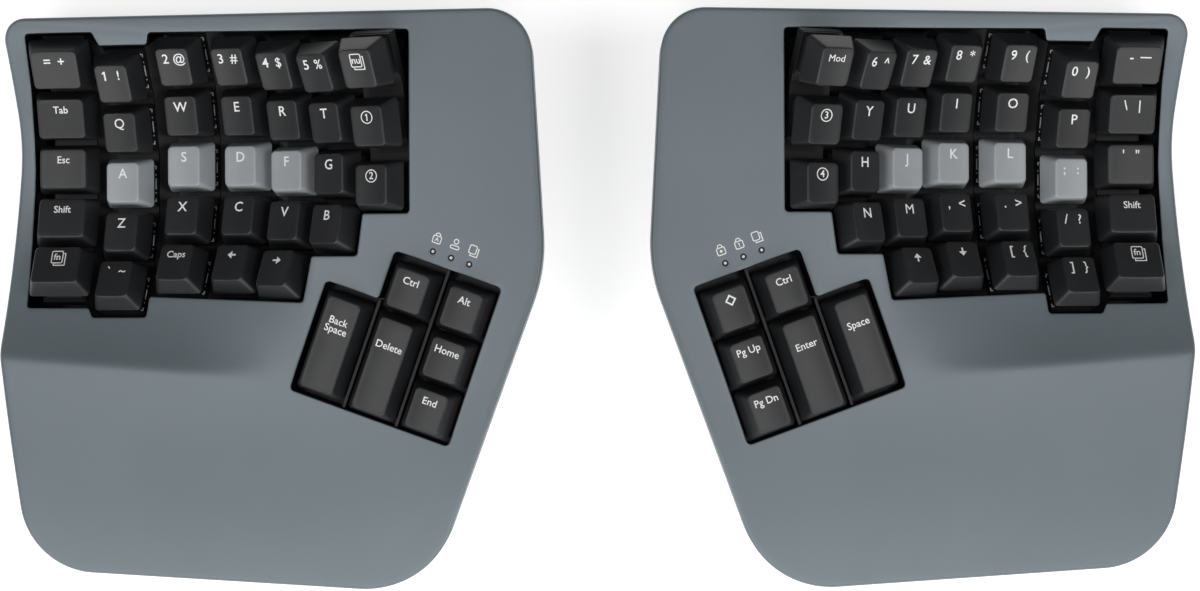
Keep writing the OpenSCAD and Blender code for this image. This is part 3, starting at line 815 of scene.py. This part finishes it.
THUMB = [(x, y, THUMB_CORNER_R) for x, y in thumb_corners()]
THUMB_CUTS = straight_cuts(THUMB)


def thumb_ring(e):
    """Edge of the thumb cluster's opening in its own frame, moved outwards by e."""
    return fillets(eased(offset_corners(THUMB, -e)), OPENING_ARC, THUMB_CUTS)


def light_ring(i, e):
    """Edge of an indicator light's hole in the same frame, moved outwards by e."""
    return circle(LIGHT_R + LIGHT_GAP + e, LIGHT_POINTS) + np.array((LIGHT_X + LIGHT_PITCH * i, LIGHT_Y))


# Upper shell's surface

def deck_z(x):
    return DECK_HEIGHT - (x - HALF_OFFSET) * math.tan(DECK_LEAN)


def palm_drop(y):
    return np.where(y > PALM_START, 0, (PALM_START - y) ** 2 / (2 * PALM_R))


def scoop_level(u, y):
    """Level of the scoop beside the home row against the deck, and the share of its depth left there."""
    radius = (SCOOP_HALF ** 2 + SCOOP_DEPTH ** 2) / (2 * SCOOP_DEPTH)
    inwards = (CASE_OUTER - HALF_OFFSET) / math.cos(DECK_LEAN) - u
    spent = np.clip((inwards - SCOOP_FULL) / (SCOOP_RUN - SCOOP_FULL), 0, 1) ** SCOOP_LATE
    left = np.maximum(1 - spent ** 2 * (3 - 2 * spent), 1e-4)
    reach = np.clip(np.abs(y - SCOOP_Y + SCOOP_SLANT * inwards), 0, SCOOP_REACH * radius)
    level = left * (radius - SCOOP_DEPTH - np.sqrt(radius ** 2 - reach ** 2))
    return np.where(spent < 1, level, NO_SCOOP), left


def top_z(x, y):
    """Height of the upper shell's outer face, with a soft crease round the scoop."""
    back = np.linalg.inv(ON_DECK)
    lean = math.cos(DECK_LEAN)
    deck = -palm_drop(y)
    z = deck_z(x) + deck / lean
    for _ in range(4):
        u, _, w = placed(back, np.stack((x, y, z), 1)).T
        scoop, left = scoop_level(u, y)
        soft = CREASE * np.clip(CREASE_FADE * left, 0.001, 1)
        share = np.clip(0.5 + 0.5 * (scoop - deck) / soft, 0, 1)
        z = z + (scoop * (1 - share) + deck * share - soft * share * (1 - share) - w) / lean
    return z


def seam_z(x):
    return deck_z(x) - BAND_H / math.cos(DECK_LEAN)


def on_deck_ring(flat, depth):
    """A ring of the thumb cluster's frame, sunk below the outer face along the deck's normal."""
    points = placed(turn(2, THUMB_TURN), with_z(flat, 0)) + np.array((THUMB_U, THUMB_Y, 0))
    points[:, 2] = -palm_drop(points[:, 1]) - depth
    return placed(ON_DECK, points)


# Pitches of the lattices of points in the outer and the inner skin, and their share kept clear of edges
OUTER_PITCH = 1.6
INNER_PITCH = 4.0
LATTICE_CLEAR = 0.45
# Height of an even triangle for its side
LATTICE_ROW = 0.866


def lattice(loops, pitch):
    """Points of a triangular lattice inside the first loop, outside the others and clear of every edge."""
    low, high = loops[0].min(0), loops[0].max(0)
    found = []
    for k, y in enumerate(np.arange(low[1], high[1], pitch * LATTICE_ROW)):
        xs = np.arange(low[0] + (k % 2) * pitch / 2, high[0], pitch)
        found.append(np.stack((xs, np.full_like(xs, y)), 1))
    points = np.concatenate(found)
    keep = inside(points, loops[0])
    for hole in loops[1:]:
        keep &= ~inside(points, hole)
    points = points[keep]
    for loop in loops:
        points = points[distance(points, loop) > LATTICE_CLEAR * pitch]
    return points


def distance(points, loop):
    """Distance of each point from a closed loop."""
    best = np.full(len(points), np.inf)
    for a, b in zip(loop, np.roll(loop, -1, 0)):
        span = b - a
        share = np.clip((points - a) @ span / max(span @ span, 1e-9), 0, 1)
        best = np.minimum(best, np.linalg.norm(points - a - share[:, None] * span, axis=1))
    return best


# Steps of a rounded edge, and how many of them take the near-black of an opening's wall, which is partly
# painted shade
ROUND = np.radians(np.linspace(0, 90, 7))
LIP_DARK = 3


def top_case():
    """Upper shell: outer skin with rounded edges, side band, inner skin and the openings' walls."""
    piece = Piece()

    def lifted(flat, drop):
        return with_z(flat, top_z(flat[:, 0], flat[:, 1]) - drop)

    def leaned(flat, drop):
        points = on_deck_ring(flat, 0)
        points[:, 2] = top_z(points[:, 0], points[:, 1]) - drop
        return points

    def lip(ring, lift, radius):
        return [lift(ring(radius * (1 - math.cos(a))), radius * (1 - math.sin(a))) for a in ROUND]

    rims = [lip(outline, lifted, EDGE_R), lip(well_ring, lifted, LIP_R), lip(thumb_ring, leaned, LIP_R)]
    rims += [lip(lambda e, i=i: light_ring(i, e), leaned, LIGHT_LIP_R) for i in range(3)]

    outer, inner = outline(0), outline(WALL)
    seam = seam_z(outer[:, 0])
    band = [lifted(inner, WALL),
            with_z(inner, seam_z(inner[:, 0])),
            with_z(outline(SEAM_GAP), seam),
            with_z(outer, seam + SEAM_GAP)]
    well_wall = [lifted(well_ring(0), WALL)]
    thumb_foot = CAP_TOP - THUMB_RAISE
    thumb_wall = [on_deck_ring(thumb_ring(WALL), WALL),
                  on_deck_ring(thumb_ring(WALL), thumb_foot),
                  on_deck_ring(thumb_ring(0), thumb_foot)]
    light_walls = [[on_deck_ring(light_ring(i, 0), WALL)] for i in range(3)]
    walls = [band, well_wall, thumb_wall, *light_walls]

    for wall, rim in zip(walls, rims):
        stack = wall + rim
        count = len(stack[0])
        dark = 0 if wall is band else len(wall) + LIP_DARK
        marks = [int(k < dark) for k in range(len(stack) - 1) for _ in range(count)]
        piece.add(np.concatenate(stack), ring_faces(len(stack), count), marks)

    outer_edges = [rim[-1] for rim in rims]
    inner_edges = [wall[0] for wall in walls]
    for edges, pitch, drop in ((outer_edges, OUTER_PITCH, 0), (inner_edges, INNER_PITCH, WALL)):
        loops = [edge[:, :2] for edge in edges]
        flat, faces, _ = filled(loops, [lattice(loops, pitch)])
        points = lifted(flat, drop)
        on_edge = np.concatenate(edges)
        points[:len(on_edge)] = on_edge
        piece.add(points, faces)
    return piece


# Materials

def srgb(*levels):
    """Linear colour of screen levels from 0 to 255."""
    made = []
    for level in levels:
        v = level / 255
        made.append(v / 12.92 if v <= 0.04045 else ((v + 0.055) / 1.055) ** 2.4)
    return (*made, 1.0)


def surface(name, tones, patch, rough, grain, relief, metallic=0.0):
    """Material whose colour drifts between two tones and whose fine grain sets its relief and gloss.

    Patch and grain are lengths in millimetres. Relief is the bump's strength and its height.
    """
    material = bpy.data.materials.new(name)
    material.use_nodes = True
    nodes, links = material.node_tree.nodes, material.node_tree.links
    shader = nodes["Principled BSDF"]
    shader.inputs["Metallic"].default_value = metallic
    place = nodes.new("ShaderNodeTexCoord")

    drift = nodes.new("ShaderNodeTexNoise")
    drift.inputs["Scale"].default_value = 1 / (patch * MM)
    drift.inputs["Detail"].default_value = 3
    links.new(place.outputs["Object"], drift.inputs["Vector"])
    ramp = nodes.new("ShaderNodeValToRGB")
    ramp.color_ramp.elements[0].position = 0.3
    ramp.color_ramp.elements[1].position = 0.7
    ramp.color_ramp.elements[0].color = tones[0]
    ramp.color_ramp.elements[1].color = tones[1]
    links.new(drift.outputs["Fac"], ramp.inputs["Fac"])
    links.new(ramp.outputs["Color"], shader.inputs["Base Color"])

    fine = nodes.new("ShaderNodeTexNoise")
    fine.inputs["Scale"].default_value = 1 / (grain * MM)
    fine.inputs["Detail"].default_value = 2
    links.new(place.outputs["Object"], fine.inputs["Vector"])
    gloss = nodes.new("ShaderNodeMapRange")
    gloss.inputs["To Min"].default_value = rough[0]
    gloss.inputs["To Max"].default_value = rough[1]
    links.new(fine.outputs["Fac"], gloss.inputs["Value"])
    links.new(gloss.outputs["Result"], shader.inputs["Roughness"])
    bump = nodes.new("ShaderNodeBump")
    bump.inputs["Strength"].default_value = relief[0]
    bump.inputs["Distance"].default_value = relief[1] * MM
    links.new(fine.outputs["Fac"], bump.inputs["Height"])
    links.new(bump.outputs["Normal"], shader.inputs["Normal"])
    return material


PAINT = surface("case_paint", (srgb(108, 118, 124), srgb(112, 122, 128)),
                patch=45, rough=(0.38, 0.46), grain=0.35, relief=(0.12, 0.05), metallic=0.2)
BASE = surface("case_base", (srgb(40, 42, 44), srgb(46, 48, 50)),
               patch=30, rough=(0.5, 0.62), grain=0.5, relief=(0.25, 0.08))
# Near-black of the key well, the tray, the openings' walls and the lens collars: the plastic's own black,
# darkened further as painted shade in the well
BLACK_AND_SHADE = surface("well_black", (srgb(11, 11, 12), srgb(15, 15, 16)),
                patch=20, rough=(0.45, 0.6), grain=0.4, relief=(0.2, 0.06))
DARK_CAP = surface("keycap_dark", (srgb(33, 34, 36), srgb(37, 38, 40)),
                   patch=9, rough=(0.36, 0.46), grain=0.22, relief=(0.16, 0.03))
LIGHT_CAP = surface("keycap_light", (srgb(156, 160, 163), srgb(162, 166, 169)),
                    patch=9, rough=(0.34, 0.44), grain=0.22, relief=(0.16, 0.03))
PRINT = surface("legend_white", (srgb(236, 236, 236), srgb(246, 246, 246)),
                patch=3, rough=(0.5, 0.6), grain=0.2, relief=(0.1, 0.01))
SWITCH = surface("switch_plastic", (srgb(20, 20, 22), srgb(26, 26, 28)),
                 patch=6, rough=(0.35, 0.5), grain=0.3, relief=(0.15, 0.03))
STEM = surface("switch_stem", (srgb(74, 46, 34), srgb(82, 52, 38)),
               patch=5, rough=(0.35, 0.5), grain=0.3, relief=(0.1, 0.02))
BOARD = surface("circuit_board", (srgb(18, 62, 40), srgb(22, 74, 48)),
                patch=4, rough=(0.3, 0.42), grain=0.5, relief=(0.2, 0.05))
FOIL = surface("battery_foil", (srgb(168, 170, 172), srgb(182, 184, 186)),
               patch=8, rough=(0.22, 0.34), grain=2.0, relief=(0.3, 0.2), metallic=0.8)
# Bright white of the painted highlights on the switches' flanges
CLIP_GLINT = surface("switch_clip_glint", (srgb(196, 198, 200), srgb(212, 214, 216)),
               patch=2, rough=(0.3, 0.42), grain=0.2, relief=(0.1, 0.01))
PIPE = surface("light_pipe", (srgb(206, 210, 214), srgb(222, 226, 230)),
               patch=1, rough=(0.2, 0.3), grain=0.2, relief=(0.1, 0.01))
STEEL = surface("screw_steel", (srgb(120, 122, 124), srgb(138, 140, 142)),
                patch=2, rough=(0.26, 0.4), grain=0.3, relief=(0.15, 0.02), metallic=1.0)
RUBBER = surface("rubber", (srgb(24, 24, 24), srgb(32, 32, 32)),
                 patch=5, rough=(0.75, 0.9), grain=0.6, relief=(0.4, 0.08))
CONTROL = surface("control_grey", (srgb(128, 132, 135), srgb(138, 142, 145)),
                  patch=6, rough=(0.4, 0.52), grain=0.3, relief=(0.2, 0.04))


# Pieces

# Solids that are shown as they are, with their finish and the width of their broken edges
DRESSED = {
    "bottom_case": (BASE, 0.4),
    "key_well": (BLACK_AND_SHADE, 0.2),
    "thumb_tray": (BLACK_AND_SHADE, 0.2),
    "switches": (SWITCH, 0),
    "circuit_board": (BOARD, 0),
    "battery": (FOIL, 0.8),
    "light_pipes": (PIPE, 0.15),
    "screws": (STEEL, 0.15),
    "feet": (RUBBER, 0.6),
    "tent_leg": (BASE, 0.4),
    "tent_buttons": (CONTROL, 0.3),
    "power_switch": (CONTROL, 0.2),
}


def dress(name, material, bevel):
    """Gives a solid of the frame its finish and breaks its edges."""
    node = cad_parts[name]
    node.data.materials.clear()
    node.data.materials.append(material)
    if bevel:
        edge = node.modifiers.new("edges", "BEVEL")
        edge.width = bevel * MM
        edge.segments = 2
        edge.limit_method = "ANGLE"
        edge.angle_limit = math.radians(40)
        edge.harden_normals = True


def make_case(side):
    piece = top_case()
    if side == "left":
        piece.points = [[-x, y, z] for x, y, z in piece.points]
    shell = piece.build(f"{side}_case_shell", [PAINT, BLACK_AND_SHADE], f"{side}_half")
    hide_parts(f"{side}_top_case")


def make_lights(side):
    """Marks printed over the indicator lights, and the dark collars round their lenses."""
    marks, collars = Piece(), Piece()
    for i, text in enumerate(LIGHT_LEGENDS[side]):
        x = LIGHT_X + LIGHT_PITCH * i
        points, faces = legend(text)
        spot = on_side(side, ON_THUMB @ shift(x, LIGHT_Y + MARK_BACK, -THUMB_RAISE))
        marks.add(placed(spot, points), faces)
        points, faces = prism(circle(LIGHT_R + COLLAR_OVER), [circle(LENS_R)])
        spot = on_side(side, ON_THUMB @ shift(x, LIGHT_Y, -THUMB_RAISE))
        collars.add(placed(spot, points), faces)
    marks.build(f"{side}_light_marks", [PRINT], f"{side}_half")
    made = collars.build(f"{side}_light_collars", [BLACK_AND_SHADE], f"{side}_half")


# Painted highlights on the switches' flanges: the flange's top, and the glints' place, width, sink, height
# and edge
FLANGE_TOP = 1.0
GLINT_X = 7.35
GLINT_W = 0.4
GLINT_SINK = 0.05
GLINT_H = 0.3
GLINT_EDGE = 0.08
GLINT_COLUMNS = (4, 5)
# Painted highlights along a switch's side as middles and lengths, and the hooks at its two ends
GLINT_RUNS = ((0, 4.0), (-3.3, 0.5), (3.3, 0.5), (-5.9, 1.3), (5.9, 1.3))
GLINT_HOOKS = ((-6.4, 1.3), (6.4, 1.3))


def make_clip_glints(side):
    """Painted highlights: bright strips on the flanges of the switches, on the side that shows between the
    columns, standing in for glints on their clips.
    """
    piece = Piece()
    inner = 1 if side == "left" else -1
    edge = inner * GLINT_X
    for c in GLINT_COLUMNS:
        for r in range(first_row(c), 3):
            spot = on_side(side, at_key(c, r))
            bars = [((edge, y), (GLINT_W, run)) for y, run in GLINT_RUNS]
            bars += [((edge - inner * run / 2, y), (run, GLINT_W)) for y, run in GLINT_HOOKS]
            for middle, size in bars:
                points, faces = bar(middle, size, FLANGE_TOP - GLINT_SINK, FLANGE_TOP + GLINT_H, GLINT_EDGE)
                piece.add(placed(spot, points), faces)
    made = piece.build(f"{side}_switch_clip_glints", [CLIP_GLINT], f"{side}_half")


def make_keys(side, label, node, body, keys, material):
    """Caps and legends of keys that move together: keys are frames with sizes and legends."""
    caps, legends = Piece(), Piece()
    for place, across, along, text in keys:
        spot = on_side(side, place)
        add_key(caps, spot, across, along)
        add_legend(legends, spot, text, across, along)
    made = caps.build(f"{side}_{label}_caps", [material, STEM], body)
    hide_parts(node)
    legends.build(f"{side}_{label}_legends", [PRINT], body)


def make_half(side):
    make_case(side)
    make_lights(side)
    make_clip_glints(side)
    for r in (-2, -1, 1, 2):
        columns = [c for c in range(7) if r >= first_row(c)]
        keys = [(at_key(c, r), units(c), 1, key_legend(side, c, r)) for c in columns]
        row = f"{ROWS[r + 2]}_row"
        make_keys(side, row, f"{side}_{row}_keys", f"{side}_{row}", keys, DARK_CAP)
    for c, column in enumerate(COLUMNS):
        light = 1 < c < 6
        keys = [(at_key(c, 0), units(c), 1, key_legend(side, c, 0))]
        make_keys(side, f"home_{column}", f"{side}_home_key_{column}", f"{side}_home_{column}", keys,
                  LIGHT_CAP if light else DARK_CAP)
    for i, thumb in enumerate(THUMBS):
        keys = [(at_thumb(i), 1, THUMB_AT[i][2], THUMB_LEGENDS[side][i])]
        make_keys(side, f"thumb_{thumb}", f"{side}_thumb_key_{thumb}", f"{side}_thumb_{thumb}", keys,
                  DARK_CAP)
    for node, (material, bevel) in DRESSED.items():
        dress(f"{side}_{node}", material, bevel)


for half in SIDES:
    make_half(half)


# Stage, light and camera

FLOOR_REACH = 3.0
FLOOR_LEVEL = -0.0002


def make_floor():
    mesh = bpy.data.meshes.new("floor")
    r = FLOOR_REACH
    corners = [(x, y, FLOOR_LEVEL) for x, y in ((-r, -r), (r, -r), (r, r), (-r, r))]
    mesh.from_pydata(corners, [], [(0, 1, 2, 3)])
    material = bpy.data.materials.new("floor_white")
    material.use_nodes = True
    shader = material.node_tree.nodes["Principled BSDF"]
    shader.inputs["Base Color"].default_value = (0.9, 0.9, 0.9, 1)
    shader.inputs["Roughness"].default_value = 0.9
    shader.inputs["Emission Color"].default_value = (1, 1, 1, 1)
    shader.inputs["Emission Strength"].default_value = 0.6
    mesh.materials.append(material)
    made = bpy.data.objects.new("floor", mesh)
    bpy.context.scene.collection.objects.link(made)


def make_softbox(name, place, size, power):
    """Area light aimed at the middle of the part."""
    data = bpy.data.lights.new(name, "AREA")
    data.shape = "RECTANGLE"
    data.size, data.size_y = size
    data.energy = power
    made = bpy.data.objects.new(name, data)
    made.location = place
    made.rotation_euler = (-Vector(place)).to_track_quat("-Z", "Y").to_euler()
    bpy.context.scene.collection.objects.link(made)


def make_world(level):
    world = bpy.data.worlds.new("studio")
    world.use_nodes = True
    world.node_tree.nodes["Background"].inputs["Color"].default_value = (1, 1, 1, 1)
    world.node_tree.nodes["Background"].inputs["Strength"].default_value = level
    bpy.context.scene.world = world


CAMERA_HEIGHT = 900.0
PHOTO_MIDDLE = (0.9, 1.6)
PHOTO_ROLL = math.radians(-0.25)
FOCAL_PIXELS = 2409.0
IMAGE_WIDTH = 1200.0


def make_camera():
    data = bpy.data.cameras.new("camera")
    data.sensor_width = 36.0
    data.lens = data.sensor_width * FOCAL_PIXELS / IMAGE_WIDTH
    data.clip_end = 20
    made = bpy.data.objects.new("camera", data)
    made.location = (PHOTO_MIDDLE[0] * MM, PHOTO_MIDDLE[1] * MM, CAMERA_HEIGHT * MM)
    made.rotation_euler = (0, 0, PHOTO_ROLL)
    bpy.context.scene.collection.objects.link(made)
    bpy.context.scene.camera = made


make_floor()
make_world(level=0.1)
make_softbox("left_softbox", place=(-0.85, -0.05, 1.55), size=(0.6, 0.5), power=5.5)
make_softbox("right_softbox", place=(0.85, -0.05, 1.55), size=(0.6, 0.5), power=5.5)
make_softbox("front_softbox", place=(0, -1.6, 1.35), size=(4.4, 1.3), power=48)
make_camera()
bpy.context.scene.view_settings.view_transform = "Standard"
